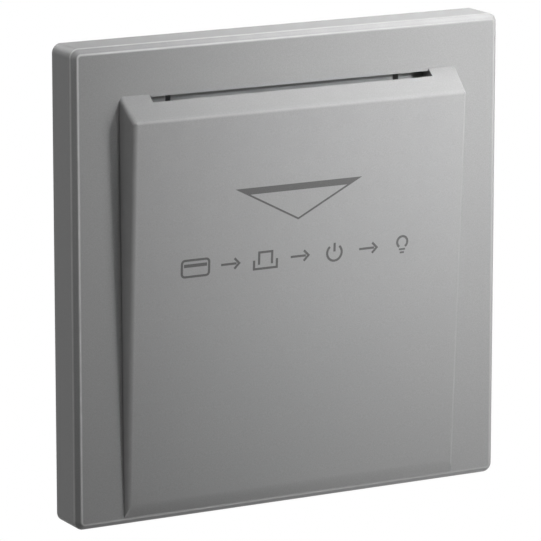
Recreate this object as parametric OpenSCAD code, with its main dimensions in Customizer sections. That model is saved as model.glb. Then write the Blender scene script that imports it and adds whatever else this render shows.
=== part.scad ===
// Wall switch worked by a hotel key card.
// Drawn on a drafting plane with X to the right, Y up and Z out of the wall,
// and stood upright by upright(): the wall plane is Z = 0 there.
// The card drops through the slot on top of the hood, pushes the feeler back,
// and the feeler pushes the contact carrier on to the fixed contacts.

/* [Plate] */
// Side of the square cover plate
plate_w = 86; // [84:0.5:90]
// Depth of the plate from the wall to its face
plate_d = 8.2; // [7.8:0.1:10]
// Thickness of the plate's face
face_t = 2; // [1.6:0.1:2.4]
// Thickness of the plate's side walls
rim_t = 1.8; // [1.4:0.1:2.2]
// Width of the bevel round the face
rim_bevel = 1; // [0.6:0.1:1.3]
// Corner radius of the plate
corner_r = 1.7; // [1.5:0.1:3]
// Radius that softens the two edges of the bevel
bevel_edge_r = 0.35; // [0.2:0.05:0.45]

/* [Card hood] */
// Width of the hood at its foot
hood_w = 68; // [66:0.5:72]
// Height of the shelf's back edge above the plate's centre
shelf_y = 34.1; // [33.5:0.1:36]
// Drop of the sloping shelf from its back edge to its front edge
shelf_drop = 4; // [3:0.1:5]
// Rise of the hood's front over the face, at the top
hood_rise = 4.9; // [4.6:0.1:6]
// Rise of the hood's front over the face, at the foot
foot_rise = 1; // [0.6:0.1:1.2]
// Height of the bevel that ends the hood's foot
foot_bevel = 1.6; // [1.2:0.1:2.5]
// Flat left between the hood's foot and the plate's bevel
foot_margin = 0.4; // [0.2:0.1:1.5]
// Lean of each hood side over the full rise
hood_draft = 0.5; // [0.2:0.1:1]
// Radius along the hood's edges
hood_edge_r = 0.9; // [0.5:0.1:1.2]
// Radius that softens the hood's front into the bevel of its foot
foot_edge_r = 4; // [2:0.5:4]
// Wall thickness of the hood
hood_t = 1.7; // [1.4:0.1:1.9]

/* [Card pocket] */
// Width of the card slot and of the pocket behind it
slot_w = 56.4; // [55:0.2:58]
// Gap of the card slot in front of the plate's face
slot_gap = 1.5; // [1.2:0.1:1.8]
// Height of the slot's rear edge above the plate's centre
slot_y = 33.6; // [33:0.1:33.8]
// Depth of the card stop below the plate's centre
stop_y = 31; // [29:0.5:32]
// Width of the cored channel inside each hood side
core_w = 2.3; // [1.5:0.1:2.5]

/* [Support frame] */
// Gap between the frame and the cover's side walls
frame_clear = 1.2; // [0.8:0.1:1.6]
// Gap between the frame's front and the cover's face
cover_gap = 1; // [0.6:0.1:1.4]
// Thickness of the frame's front skin
skin_t = 2; // [1.6:0.1:2.4]
// Thickness of the frame's walls
frame_t = 1.8; // [1.4:0.1:2]
// Thickness of the frame's stiffening ribs
rib_t = 1.4; // [1:0.1:2]
// Distance between the two wall screws
fixing_pitch = 60.3; // [60:0.1:61]
// Width of each wall screw slot
fixing_slot_w = 4; // [3.8:0.1:4.4]
// Length of each wall screw slot
fixing_slot_l = 7; // [6.5:0.1:7.4]
// Width of the pocket for a wall screw's head
head_pocket_w = 7.5; // [7.2:0.1:7.8]
// Thickness of the web under a wall screw's head
web_t = 2; // [1.6:0.1:2.6]
// Height of the solid pad round a wall screw
pad_h = 15; // [13:0.5:18]
// Diameter of the four pegs that hold the cover
peg_d = 4; // [3:0.1:4.6]
// Distance of each peg from the plate's edges
peg_inset = 7.5; // [7:0.1:8]
// Wall round each peg socket
socket_t = 1.5; // [1.2:0.1:1.8]
// Gap between each peg's end and the wall
peg_end_gap = 0.8; // [0.4:0.1:1.5]

/* [Chamber wall] */
// Width of the chamber wall and of the housing behind it
lid_w = 45; // [44:0.2:45.4]
// Height of the chamber wall
lid_h = 70; // [69.5:0.1:70.4]
// Thickness of the chamber wall
lid_t = 2; // [1.8:0.1:2.2]
// Gap at each side of the chamber wall
side_gap = 1.2; // [0.8:0.1:1.3]
// Gap above and below the chamber wall
end_gap = 0.5; // [0.3:0.1:0.6]
// Height of the flange below the housing that takes the frame screws
flange_h = 6; // [5.8:0.1:6.6]
// Width of each hooking tongue on the top edge
tongue_w = 8; // [6:0.5:10]
// Thickness of each tongue
tongue_t = 1.8; // [1.4:0.1:2.2]
// Reach of each tongue behind the frame
tongue_reach = 2; // [1.4:0.1:2.2]
// Height of the two low ribs that keep the card off the wall
guide_h = 1; // [0.6:0.1:1.2]
// Diameter of the shank of the assembly screws
screw_d = 2.6; // [2.4:0.1:2.8]
// Diameter of the head of the assembly screws
screw_head_d = 4.6; // [4.4:0.1:4.8]
// Thickness of the head of the assembly screws
screw_head_t = 1.1; // [0.9:0.1:1.2]

/* [Rear housing] */
// Height of the rear housing
housing_h = 45; // [44:0.5:50]
// Reach of the rear housing behind the wall plane
housing_d = 22; // [21.5:0.1:25]
// Wall thickness of the rear housing
housing_t = 1.6; // [1.4:0.1:2]
// Radius of the rear housing's corners
housing_r = 2; // [1:0.2:3]
// Radius round the rear edge of the housing
housing_edge_r = 1.2; // [0.6:0.1:1.4]
// Length of the assembly screws in the housing
lid_screw_l = 12; // [10:0.5:16]

/* [Card feeler] */
// Height of the pivot above the housing's underside
pivot_rise = 22; // [21.8:0.1:23]
// Distance of the pivot behind the wall plane
pivot_back = 0.4; // [0.2:0.1:0.6]
// Diameter of the pivot pin
pin_d = 2; // [1.6:0.1:2.4]
// Width of the feeler's hub
hub_w = 11; // [10:0.2:12]
// Width of the feeler's nose and arm
nose_w = 8; // [6:0.2:9]
// Reach of the nose in front of the pivot
nose_reach = 8.7; // [8:0.1:9]
// Depth of the nose's tip below the pivot
nose_drop = 12; // [11.5:0.1:12.5]
// Distance from the pivot down to the pad that pushes the carrier
lever = 14; // [13.5:0.1:14.4]
// Turn of the feeler when the card is in, in degrees
feeler_turn = 8; // [6:0.5:8.5]

/* [Contacts] */
// Width of the contact carrier
carrier_w = 10; // [9:0.2:11]
// Height of the contact carrier
carrier_h = 8; // [7.6:0.1:8.4]
// Length of the carrier's window for the bridge and its spring
window_l = 5; // [4.5:0.1:5.4]
// Length of the contact bridge
bridge_l = 24.4; // [23:0.2:26]
// Height of the contact bridge
bridge_h = 5; // [4.6:0.1:5.2]
// Thickness of the contact bridge and of the fixed bars
strip_t = 0.8; // [0.6:0.1:0.9]
// Distance of each contact from the middle
contact_x = 9.4; // [9.2:0.1:10]
// Diameter of the contact tips
tip_d = 3.2; // [2.6:0.1:3.6]
// Thickness of the contact tips
tip_t = 0.75; // [0.6:0.05:0.9]
// Wire diameter of the two coil springs
wire_d = 0.5; // [0.4:0.05:0.55]
// Mean diameter of the two coil springs
coil_d = 4.1; // [3.8:0.1:4.3]

/* [Terminals] */
// Width of each terminal pillar
pillar_w = 8; // [7.6:0.1:9]
// Height of each terminal pillar
pillar_h = 11; // [10.4:0.1:11.6]
// Diameter of the wire hole in each pillar
wire_hole_d = 4.4; // [4:0.1:4.6]
// Depth of the wire hole
wire_hole_l = 9; // [8.4:0.1:9.2]
// Distance of the wire hole in front of the housing's rear wall
wire_back = 7.8; // [7.4:0.1:8.2]
// Diameter of the terminal screws
clamp_d = 3.9; // [3.4:0.1:4]

/* [Hidden] */
$fn = 48;
edge_steps = 5;
cut = 1;
running_clear = 0.05;
seat_clear = 0.1;
touch = 0.02;
small_r = 0.5;
large_r = 1.5;

// Levels out of the wall
face_z = plate_d;
inner_z = plate_d - face_t;
front_z = inner_z - cover_gap;
lid_rear_z = front_z - lid_t;
skin_rear_z = front_z - skin_t;
housing_rear_z = -housing_d;
floor_z = housing_rear_z + housing_t;
pivot_z = -pivot_back;
rim_rear_z = 0.2;

// Places on the drafting plane
half_plate = plate_w / 2;
half_frame = half_plate - rim_t - frame_clear;
half_open_w = lid_w / 2 + side_gap;
half_open_h = lid_h / 2 + end_gap;
peg_at = half_plate - peg_inset;
peg_end_r = 0.6;
socket_r = peg_d / 2 + running_clear + socket_t;
housing_y0 = -lid_h / 2 + flange_h;
housing_y1 = housing_y0 + housing_h;
ledge_gap = 0.4;
ledge_y = housing_y0 - ledge_gap;
pivot_y = housing_y0 + pivot_rise;
carrier_y = pivot_y - lever;

// Hood outline seen from the side, as [up, out]
foot_y = -half_plate + rim_bevel + foot_margin;
front_y = shelf_y - shelf_drop;
front_slope = (hood_rise - foot_rise) / (front_y - foot_y - foot_bevel);
front_tilt = atan(front_slope);
shelf_tilt = atan2(shelf_drop, hood_rise);
// Level of the hood's front at a height, less a wall thickness
function hood_out(y, wall) = face_z + hood_rise - (front_y - y) * front_slope - wall / cos(front_tilt);
function shelf_up(z, wall) = shelf_y - (z - face_z) * tan(shelf_tilt) - wall / cos(shelf_tilt);

// Height where the insides of the shelf and of the front meet
hollow_turn = front_slope + 1 / tan(shelf_tilt);
hollow_top_y = front_y + (hood_t / cos(front_tilt) - hood_t / sin(shelf_tilt)) / hollow_turn;

// Feeler
hub_wall = 1.8;
hub_r = pin_d / 2 + hub_wall;
arm_set = 0.6;
arm_front_z = pivot_z - arm_set;
arm_t = 2.4;
arm_rear_z = arm_front_z - arm_t;
pad_r = 1.6;
pad_proud = 0.8;
pad_z = arm_rear_z + pad_r - pad_proud;
nose_tip_r = 1.2;
nose_root = 3.5;
nose_under = 3.5;
nose_top_y = pivot_y - nose_root;
nose_low_y = pivot_y - nose_drop - nose_under;
window_drop = 1;
window_gap = 0.7;
nose_window_top = nose_top_y - window_drop;
nose_window_low = nose_low_y - window_gap;
toe_gap = 0.6;
toe_y = nose_window_low - toe_gap;
toe_h = 2;
ear_gap = 0.4;
ear_t = 2;
ear_x = hub_w / 2 + ear_gap;
pin_l = 2 * (ear_x + ear_t);
travel = lever * feeler_turn * PI / 180;

// Contact carrier and contacts, going back from the feeler's pad
carrier_z0 = pad_z - pad_r - seat_clear;
carrier_wall = 2;
window_z0 = carrier_z0 - carrier_wall;
window_z1 = window_z0 - window_l;
tail_web = 1.2;
tail_l = 6;
carrier_z1 = window_z1 - tail_l;
coil_clear = 0.35;
spring_hole_r = (coil_d + wire_d) / 2 + coil_clear;
bridge_z1 = window_z1 + running_clear;
bridge_z0 = bridge_z1 + strip_t;
tip_z1 = bridge_z1 - tip_t;
fixed_tip_z0 = tip_z1 - travel - running_clear;
bar_z0 = fixed_tip_z0 - tip_t;
bar_z1 = bar_z0 - strip_t;
bar_w = 5;
bar_end = 0.5;
bar_low_y = carrier_y - bridge_h / 2 - bar_end;
rivet_r = 0.8;
rivet_head_r = 1.2;
rivet_head_t = 0.4;
tip_edge_r = 0.35;
guide_t = 1.4;
guide_grip = 1.3;
guide_gap = 0.4;
guide_z = arm_rear_z - (pivot_y - toe_y + toe_h) * sin(feeler_turn) - guide_gap;

// Terminals
bar_shift = 0.3;
bar_x0 = contact_x - bar_w / 2 + bar_shift;
pillar_x = bar_x0 + pillar_w / 2;
pillar_y1 = housing_y1 - housing_t - seat_clear;
pillar_y0 = pillar_y1 - pillar_h;
wire_z = floor_z + wire_back;
pillar_wall = 1.2;
pillar_z0 = wire_z + wire_hole_d / 2 + pillar_wall;
bar_seat = 1.3;
bar_top_y = pillar_y0 + bar_seat;
clamp_shift = 0.5;
clamp_gap = 0.4;
clamp_sunk = 0.6;
clamp_y = pillar_y1 - wire_hole_l / 2 - clamp_shift;
clamp_tip_z = wire_z - wire_hole_d / 2 - clamp_gap;
clamp_end_z = housing_rear_z + clamp_sunk;
clamp_hole_r = clamp_d / 2 + clamp_sunk;
clamp_edge_r = 0.3;
clamp_tip_r = 0.8;
clamp_slot_w = 0.8;
clamp_slot_t = 1;

// Places of the assembly screws
boss_wall = 1.5;
boss_r = screw_d / 2 + boss_wall;
boss_inset = 2;
lid_screw_x = lid_w / 2 - housing_t - boss_inset;
lid_screw_low_y = housing_y0 + housing_t + boss_inset;
lid_screw_high_y = housing_y1 - housing_t - boss_inset;
lid_screw_places = [[-lid_screw_x, lid_screw_low_y], [lid_screw_x, lid_screw_low_y], [0, lid_screw_high_y]];
frame_screw_x = 15;
frame_screw_low = 2.8;
frame_screw_y = -lid_h / 2 + frame_screw_low;
screw_end_gap = 0.4;
frame_screw_l = front_z - screw_head_t - screw_end_gap;

// Helpers
// Turns the drafting plane upright, so that its Z points away from the wall
module upright() {
    rotate([90, 0, 0]) children();
}
// Extrudes a profile drawn as [up, out] between two places across the plate
module across(x0, x1) {
    translate([x0, 0, 0]) rotate([90, 0, 90]) linear_extrude(x1 - x0) children();
}
module block(low, high) {
    translate(low) cube(high - low);
}
// Extrudes an outline between two levels
module slab(z0, z1) {
    translate([0, 0, z0]) linear_extrude(z1 - z0) children();
}
// Round bar or hole along Z
module rod(x, y, r, z0, z1) {
    translate([x, y, z0]) cylinder(r = r, h = z1 - z0);
}
// Pin or screw along Z: a profile drawn as [radius, level], turned round its own axis
module turned(x, y) {
    translate([x, y, 0]) rotate_extrude() children();
}
module both_sides() {
    children();
    mirror([1, 0, 0]) children();
}
module four_corners() {
    for (sx = [0, 1], sy = [0, 1]) mirror([sx, 0, 0]) mirror([0, sy, 0]) children();
}

function unit(v) = v / norm(v);
function turn(a) = a > 180 ? a - 360 : a < -180 ? a + 360 : a;
// Points of a corner at p between a and b, rounded to radius r
function corner(a, p, b, r) =
    let (u = unit(a - p), v = unit(b - p), half = acos(u * v) / 2)
    let (c = p + unit(u + v) * r / sin(half), reach = r / tan(half))
    let (s = p + u * reach - c, e = p + v * reach - c)
    let (a0 = atan2(s[1], s[0]), sweep = turn(atan2(e[1], e[0]) - a0))
    [for (i = [0:edge_steps]) c + r * [cos(a0 + sweep * i / edge_steps), sin(a0 + sweep * i / edge_steps)]];
// Outline with each corner rounded to its own radius, 0 for a sharp one
function softened(points, radii) =
    let (n = len(points))
    [for (i = [0:n - 1]) each radii[i] > 0
        ? corner(points[(i + n - 1) % n], points[i], points[(i + 1) % n], radii[i])
        : [points[i]]];
// Rectangle on the drafting plane, with round corners
module panel(x0, y0, x1, y1, r) {
    polygon(softened([[x0, y0], [x1, y0], [x1, y1], [x0, y1]], [r, r, r, r]));
}
module square_panel(half, r) {
    panel(-half, -half, half, half, r);
}
// Block whose rim follows a profile, drawn as [out, level] from the centres of its four corners
module rimmed(low, high, profile) {
    block(low, high);
    centres = [[high[0], high[1]], [low[0], high[1]], [low[0], low[1]], [high[0], low[1]]];
    runs = [high[1] - low[1], high[0] - low[0], high[1] - low[1], high[0] - low[0]];
    for (side = [0:3]) translate([centres[side][0], centres[side][1], 0]) rotate([0, 0, 90 * side]) {
        rotate([90, 0, 0]) linear_extrude(runs[side]) polygon(profile);
        rotate_extrude(angle = 90) polygon(profile);
    }
}

// Front cover: a shallow square shell with a wedge-shaped hood moulded on its face
rim_profile = softened(
    [[0, rim_rear_z], [corner_r, rim_rear_z], [corner_r, face_z - rim_bevel],
     [corner_r - rim_bevel, face_z], [0, face_z]],
    [0, 0, bevel_edge_r, bevel_edge_r, 0]);

module plate_blank() {
    core = half_plate - corner_r;
    rimmed([-core, -core, rim_rear_z], [core, core, face_z], rim_profile);
}

// Outside of the round along the right edge of the shelf, from the face to the hood's front
module shelf_edge() {
    side_lean = hood_draft / hood_rise;
    back = [hood_w / 2 + side_lean * shelf_drop * front_slope, shelf_y, face_z];
    front = [hood_w / 2 - hood_draft, front_y, face_z + hood_rise];
    along = unit(front - back);
    up = unit([0, hood_rise, shelf_drop]);
    out = cross(up, along);
    down = cross(unit(cross([0, 1, front_slope], along)), along);
    arc = corner([-1, 0], [0, 0], [down * out, down * up], hood_edge_r);
    multmatrix([
        [out[0], up[0], along[0], back[0]],
        [out[1], up[1], along[1], back[1]],
        [out[2], up[2], along[2], back[2]]])
        translate([0, 0, -cut]) linear_extrude(norm(front - back) + 2 * cut)
            polygon(concat(arc, [[cut, arc[edge_steps][1]], [cut, cut], [arc[0][0], cut]]));
}

module hood_blank() {
    root_z = face_z - face_t / 2;
    side_profile = softened(
        [[shelf_y, root_z], [shelf_y, face_z], [front_y, face_z + hood_rise],
         [foot_y + foot_bevel, face_z + foot_rise], [foot_y, face_z], [foot_y, root_z]],
        [0, 0, hood_edge_r, foot_edge_r, 0, 0]);
    foot = hood_w / 2;
    lean = hood_draft / hood_rise;
    low = hood_rise + face_t;
    wide = foot + face_t * lean;
    narrow = foot - hood_draft;
    section = softened(
        [[-wide, -low], [wide, -low], [narrow, 0], [-narrow, 0]],
        [0, 0, hood_edge_r, hood_edge_r]);
    difference() {
        intersection() {
            across(-plate_w, plate_w) polygon(side_profile);
            translate([0, front_y, face_z + hood_rise]) rotate([90 + front_tilt, 0, 0])
                translate([0, 0, -plate_w]) linear_extrude(3 * plate_w) polygon(section);
        }
        both_sides() shelf_edge();
    }
}

// Hollow behind the hood, between two places across the plate
module hood_hollow(x0, x1, low_y, high_y) {
    across(x0, x1) polygon([
        [low_y, inner_z - cut], [high_y, inner_z - cut], [high_y, face_z],
        [min(high_y, shelf_up(face_z, hood_t)), face_z],
        [hollow_top_y, hood_out(hollow_top_y, hood_t)],
        [low_y, hood_out(low_y, hood_t)]]);
}

// Round peg with a rounded end
module cover_peg() {
    root_z = inner_z + face_t / 4;
    turned(peg_at, peg_at) polygon(softened(
        [[0, peg_end_gap], [peg_d / 2, peg_end_gap], [peg_d / 2, root_z], [0, root_z]],
        [0, peg_end_r, 0, 0]));
}

module front_cover() {
    half_slot = slot_w / 2;
    core_x1 = hood_w / 2 - hood_draft - hood_t;
    notch_w = 10;
    notch_t = 1.4;
    color("silver") upright() {
        difference() {
            union() {
                plate_blank();
                hood_blank();
            }
            slab(-cut, inner_z) square_panel(half_plate - rim_t, small_r);
            hood_hollow(-half_slot, half_slot, -stop_y, slot_y);
            both_sides() hood_hollow(core_x1 - core_w, core_x1, -stop_y, front_y - shelf_drop);
            block([-half_slot, front_y - hood_t, face_z], [half_slot, shelf_y + cut, face_z + slot_gap]);
            block([-notch_w / 2, -half_plate - cut, -cut], [notch_w / 2, rim_t - half_plate + cut, notch_t]);
        }
        four_corners() cover_peg();
    }
}

// Support frame: a ribbed ring that is screwed to the wall box
module fixing_slot(r, z0, z1) {
    half = (fixing_slot_l - fixing_slot_w) / 2;
    x = fixing_pitch / 2;
    rod(x - half, 0, r, z0, z1);
    rod(x + half, 0, r, z0, z1);
    block([x - half, -r, z0], [x + half, r, z1]);
}

module frame_opening(grow) {
    w = half_open_w + grow;
    h = half_open_h + grow;
    panel(-w, -h, w, h, small_r);
}

module frame_ribs() {
    pad_margin = 3;
    pad_x1 = fixing_pitch / 2 + fixing_slot_l / 2 + pad_margin;
    frame_opening(frame_t);
    both_sides() panel(half_open_w, -pad_h / 2, pad_x1, pad_h / 2, small_r);
    four_corners() {
        translate([peg_at, peg_at]) circle(socket_r);
        translate([(half_open_w + half_frame) / 2 - rib_t / 2, 0]) square([rib_t, half_frame]);
        translate([half_open_w, half_frame / 2]) square([half_frame - half_open_w, rib_t]);
    }
}

module support_frame() {
    tongue_x = lid_w / 4;
    color("gainsboro") upright() {
        difference() {
            slab(0, front_z) square_panel(half_frame, large_r);
            slab(-cut, skin_rear_z) difference() {
                square_panel(half_frame - frame_t, small_r);
                frame_ribs();
            }
            slab(-cut, front_z + cut) frame_opening(0);
            both_sides() {
                fixing_slot(fixing_slot_w / 2, -cut, front_z + cut);
                fixing_slot(head_pocket_w / 2, web_t, front_z + cut);
                block([tongue_x - tongue_w / 2 - end_gap, half_open_h - cut, -cut],
                      [tongue_x + tongue_w / 2 + end_gap, half_open_h + tongue_reach + end_gap, lid_rear_z]);
            }
            four_corners() rod(peg_at, peg_at, peg_d / 2 + running_clear, -cut, front_z + cut);
        }
        both_sides() block(
            [lid_w / 2 + touch, ledge_y - cut, 0],
            [half_open_w + cut, half_open_h + cut, lid_rear_z]);
        difference() {
            block([-half_open_w, -half_open_h, 0], [half_open_w, ledge_y, lid_rear_z]);
            both_sides() rod(frame_screw_x, frame_screw_y, screw_d / 2 + running_clear, -cut, front_z);
        }
    }
}

// Chamber wall: the back of the card pocket, and the lid of the rear housing
module screw_seat(x, y) {
    rod(x, y, screw_d / 2 + seat_clear, lid_rear_z - cut, front_z + cut);
    rod(x, y, screw_head_d / 2 + seat_clear, front_z - screw_head_t - running_clear, front_z + cut);
}

module pivot_ear() {
    across(ear_x, ear_x + ear_t) difference() {
        union() {
            translate([pivot_y, pivot_z]) circle(hub_r);
            translate([pivot_y - hub_r, pivot_z]) square([2 * hub_r, lid_rear_z - pivot_z + touch]);
        }
        translate([pivot_y, pivot_z]) circle(pin_d / 2 + touch);
    }
}

module tongue() {
    x = lid_w / 4 - tongue_w / 2;
    top = half_open_h + tongue_reach;
    overlap = 3;
    root = lid_h / 2 - overlap;
    across(x, x + tongue_w) polygon([
        [root, lid_rear_z + touch], [lid_h / 2, lid_rear_z + touch], [lid_h / 2, lid_rear_z - seat_clear],
        [top, lid_rear_z - seat_clear], [top, lid_rear_z - tongue_t], [root, lid_rear_z - tongue_t]]);
}

module chamber_wall() {
    guide_x = 14;
    guide_w = 1.2;
    guide_run = 6;
    guide_low_y = 1 - stop_y;
    window_x = nose_w / 2 + window_gap;
    color("dimgray") upright() {
        difference() {
            slab(lid_rear_z, front_z) panel(-lid_w / 2, -lid_h / 2, lid_w / 2, lid_h / 2, small_r);
            block([-window_x, nose_window_low, lid_rear_z - cut], [window_x, nose_window_top, front_z + cut]);
            for (p = lid_screw_places) screw_seat(p[0], p[1]);
            both_sides() screw_seat(frame_screw_x, frame_screw_y);
        }
        both_sides() {
            pivot_ear();
            tongue();
            across(guide_x - guide_w / 2, guide_x + guide_w / 2) polygon([
                [guide_low_y, front_z - touch], [pivot_y + guide_run, front_z - touch],
                [pivot_y, front_z + guide_h], [guide_low_y, front_z + guide_h]]);
        }
    }
}

// Assembly screws: flat-headed, with a cross recess
module assembly_screw(x, y, tail) {
    head_edge_r = 0.3;
    end_r = 0.7;
    recess = 2.2;
    recess_w = 0.6;
    recess_d = 0.7;
    under_z = front_z - screw_head_t;
    profile = softened(
        [[0, front_z], [screw_head_d / 2, front_z], [screw_head_d / 2, under_z],
         [screw_d / 2, under_z], [screw_d / 2, under_z - tail], [0, under_z - tail]],
        [0, head_edge_r, 0, 0, end_r, 0]);
    difference() {
        turned(x, y) polygon(profile);
        for (side = [0, 90]) translate([x, y, front_z]) rotate([0, 0, side])
            block([-recess / 2, -recess_w / 2, -recess_d], [recess / 2, recess_w / 2, cut]);
    }
}
module frame_screws() {
    color("lightgray") upright() both_sides() assembly_screw(frame_screw_x, frame_screw_y, frame_screw_l);
}
module lid_screws() {
    color("lightgray") upright() for (p = lid_screw_places) assembly_screw(p[0], p[1], lid_screw_l);
}

// Rear housing: a box that goes into the wall and carries the contacts
module housing_blank() {
    x = lid_w / 2 - housing_r;
    profile = softened(
        [[0, housing_rear_z], [housing_r, housing_rear_z], [housing_r, lid_rear_z], [0, lid_rear_z]],
        [0, min(housing_edge_r, housing_r - touch), 0, 0]);
    rimmed([-x, housing_y0 + housing_r, housing_rear_z], [x, housing_y1 - housing_r, lid_rear_z], profile);
}

module housing_hollow() {
    x = lid_w / 2 - housing_t;
    slab(floor_z, lid_rear_z + cut)
        panel(-x, housing_y0 + housing_t, x, housing_y1 - housing_t, max(housing_r - housing_t, small_r));
}

module carrier_guide() {
    x = carrier_w / 2 + seat_clear;
    y = carrier_h / 2 + seat_clear;
    both_sides() for (up = [0, 1]) translate([0, carrier_y, 0]) mirror([0, up, 0])
        slab(floor_z - touch, guide_z) polygon([
            [x - guide_grip, y], [x, y], [x, y - guide_grip],
            [x + guide_t, y - guide_grip], [x + guide_t, y + guide_t], [x - guide_grip, y + guide_t]]);
}

// Wall that keeps the two terminals apart
module barrier() {
    barrier_t = 1.4;
    block([-barrier_t / 2, pillar_y0 - pillar_wall, floor_z - touch],
          [barrier_t / 2, housing_y1 - housing_t / 2, pillar_z0]);
}

module bar_rests() {
    rest_h = 1.8;
    for (y = [bar_low_y, (carrier_y + pillar_y0) / 2])
        block([bar_x0, y, floor_z - touch], [bar_x0 + bar_w, y + rest_h, bar_z1]);
}

module pillar_shelf() {
    shelf_t = 1.6;
    difference() {
        block([bar_x0, pillar_y0 - seat_clear - shelf_t, floor_z - touch],
              [bar_x0 + pillar_w, pillar_y0 - seat_clear, pillar_z0]);
        block([bar_x0 - cut, pillar_y0 - cut - shelf_t, bar_z1 - seat_clear],
              [bar_x0 + bar_w + seat_clear, pillar_y0 + cut, pillar_z0 + cut]);
    }
}

module rear_housing() {
    entry_clear = 0.5;
    entry_r = wire_hole_d / 2 + entry_clear;
    nub_l = 2;
    nub_r = (coil_d - wire_d) / 2 - coil_clear;
    pilot_end_z = lid_rear_z - lid_screw_l - cut;
    color("whitesmoke") upright() difference() {
        union() {
            difference() {
                housing_blank();
                housing_hollow();
            }
            for (p = lid_screw_places) rod(p[0], p[1], boss_r, floor_z - touch, lid_rear_z);
            both_sides() {
                bar_rests();
                pillar_shelf();
            }
            barrier();
            carrier_guide();
            rod(0, carrier_y, nub_r, floor_z - touch, floor_z + nub_l);
        }
        for (p = lid_screw_places)
            rod(p[0], p[1], screw_d / 2 + running_clear, pilot_end_z, lid_rear_z + cut);
        both_sides() {
            rod(pillar_x, clamp_y, clamp_hole_r, housing_rear_z - cut, floor_z + cut);
            translate([pillar_x, housing_y1 - housing_t - touch, wire_z]) rotate([-90, 0, 0])
                cylinder(r = entry_r, h = housing_t + cut);
        }
    }
}

// Card feeler: a lever on a pin, with a sloping nose in the card's way
module feeler_pin() {
    color("silver") upright() translate([-pin_l / 2, pivot_y, pivot_z]) rotate([0, 90, 0])
        cylinder(d = pin_d, h = pin_l);
}

module card_feeler() {
    tip_z = pivot_z + nose_reach;
    tip_y = pivot_y - nose_drop;
    toe_z = lid_rear_z - seat_clear;
    chin_z = 5;
    nose = softened(
        [[nose_top_y, arm_front_z], [tip_y, tip_z], [nose_low_y, arm_front_z + chin_z],
         [nose_low_y, arm_rear_z], [pivot_y, arm_rear_z], [pivot_y, arm_front_z]],
        [0, nose_tip_r, small_r, 0, 0, 0]);
    color("ivory") upright() difference() {
        union() {
            across(-nose_w / 2, nose_w / 2) {
                polygon(nose);
                translate([carrier_y, pad_z]) circle(pad_r);
                polygon([
                    [nose_low_y + touch, arm_rear_z], [nose_low_y + touch, arm_front_z],
                    [toe_y, arm_front_z], [toe_y, toe_z],
                    [toe_y - toe_h, toe_z], [toe_y - toe_h, arm_rear_z]]);
            }
            across(-hub_w / 2, hub_w / 2) translate([pivot_y, pivot_z]) circle(hub_r);
        }
        translate([-hub_w, pivot_y, pivot_z]) rotate([0, 90, 0])
            cylinder(r = pin_d / 2 + running_clear, h = 2 * hub_w);
    }
}

// Contact carrier: a slider with a window for the contact bridge
module contact_carrier() {
    half_window = bridge_h / 2 + seat_clear;
    low = carrier_y - carrier_h / 2;
    high = carrier_y + carrier_h / 2;
    color("tan") upright() difference() {
        across(-carrier_w / 2, carrier_w / 2) polygon(softened(
            [[low, carrier_z1], [high, carrier_z1], [high, carrier_z0], [low, carrier_z0]],
            [small_r, small_r, large_r, large_r]));
        block([-carrier_w, carrier_y - half_window, window_z1],
              [carrier_w, carrier_y + half_window, window_z0]);
        rod(0, carrier_y, spring_hole_r, carrier_z1 - cut, window_z1 - tail_web);
    }
}

module contact_bridge() {
    color("goldenrod") upright() difference() {
        slab(bridge_z1, bridge_z0)
            panel(-bridge_l / 2, carrier_y - bridge_h / 2, bridge_l / 2, carrier_y + bridge_h / 2, large_r);
        both_sides() rod(contact_x, carrier_y, rivet_r + touch, bridge_z1 - cut, bridge_z0 + cut);
    }
}

// Contact rivet: a rounded tip, a shank through the strip and a closing head
rivet_l = tip_t + strip_t + rivet_head_t;
rivet_profile = softened(
    [[0, 0], [tip_d / 2, 0], [tip_d / 2, tip_t], [rivet_r, tip_t], [rivet_r, tip_t + strip_t],
     [rivet_head_r, tip_t + strip_t], [rivet_head_r, rivet_l], [0, rivet_l]],
    [0, tip_edge_r, 0, 0, 0, 0, 0, 0]);
module moving_contacts() {
    color("silver") upright() both_sides() translate([0, 0, tip_z1]) turned(contact_x, carrier_y)
        polygon(rivet_profile);
}

// Coil spring along Z: one tube swept round a helix
ring_sides = 6;
rings_per_turn = 8;
function helix(t, z0, z1, turns) =
    [coil_d / 2 * cos(360 * turns * t), coil_d / 2 * sin(360 * turns * t), z0 + (z1 - z0) * t];
function ring(t, z0, z1, turns) =
    let (p = helix(t, z0, z1, turns), q = helix(t + 0.001, z0, z1, turns))
    let (along = unit(q - p), out = unit([p[0], p[1], 0]), side = cross(along, out))
    [for (i = [0:ring_sides - 1])
        p + wire_d / 2 * (cos(360 * i / ring_sides) * out + sin(360 * i / ring_sides) * side)];
function tube_faces(n) = [
    [for (i = [0:ring_sides - 1]) i],
    for (k = [0:n - 2], i = [0:ring_sides - 1]) let (a = k * ring_sides, j = (i + 1) % ring_sides)
        each [[a + i, a + ring_sides + i, a + ring_sides + j], [a + i, a + ring_sides + j, a + j]],
    [for (i = [ring_sides - 1:-1:0]) (n - 1) * ring_sides + i]];
module coil(z0, z1, turns, name) {
    n = turns * rings_per_turn + 1;
    low = min(z0, z1) + wire_d / 2 + running_clear;
    high = max(z0, z1) - wire_d / 2 - running_clear;
    centres = [for (k = [0:n - 1]) helix(k / (n - 1), low, high, turns)];
    apart = [for (k = [0:n - 1 - rings_per_turn], m = [k + 5:n - 1]) norm(centres[k] - centres[m])];
    echo(str(name, " least gap to itself, mm: "), min(apart) - wire_d);
    translate([0, carrier_y, 0]) polyhedron(
        points = [for (k = [0:n - 1]) each ring(k / (n - 1), low, high, turns)], faces = tube_faces(n));
}
module contact_spring() {
    color("gray") upright() coil(bridge_z0, window_z0, 3, "contact spring");
}
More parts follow.
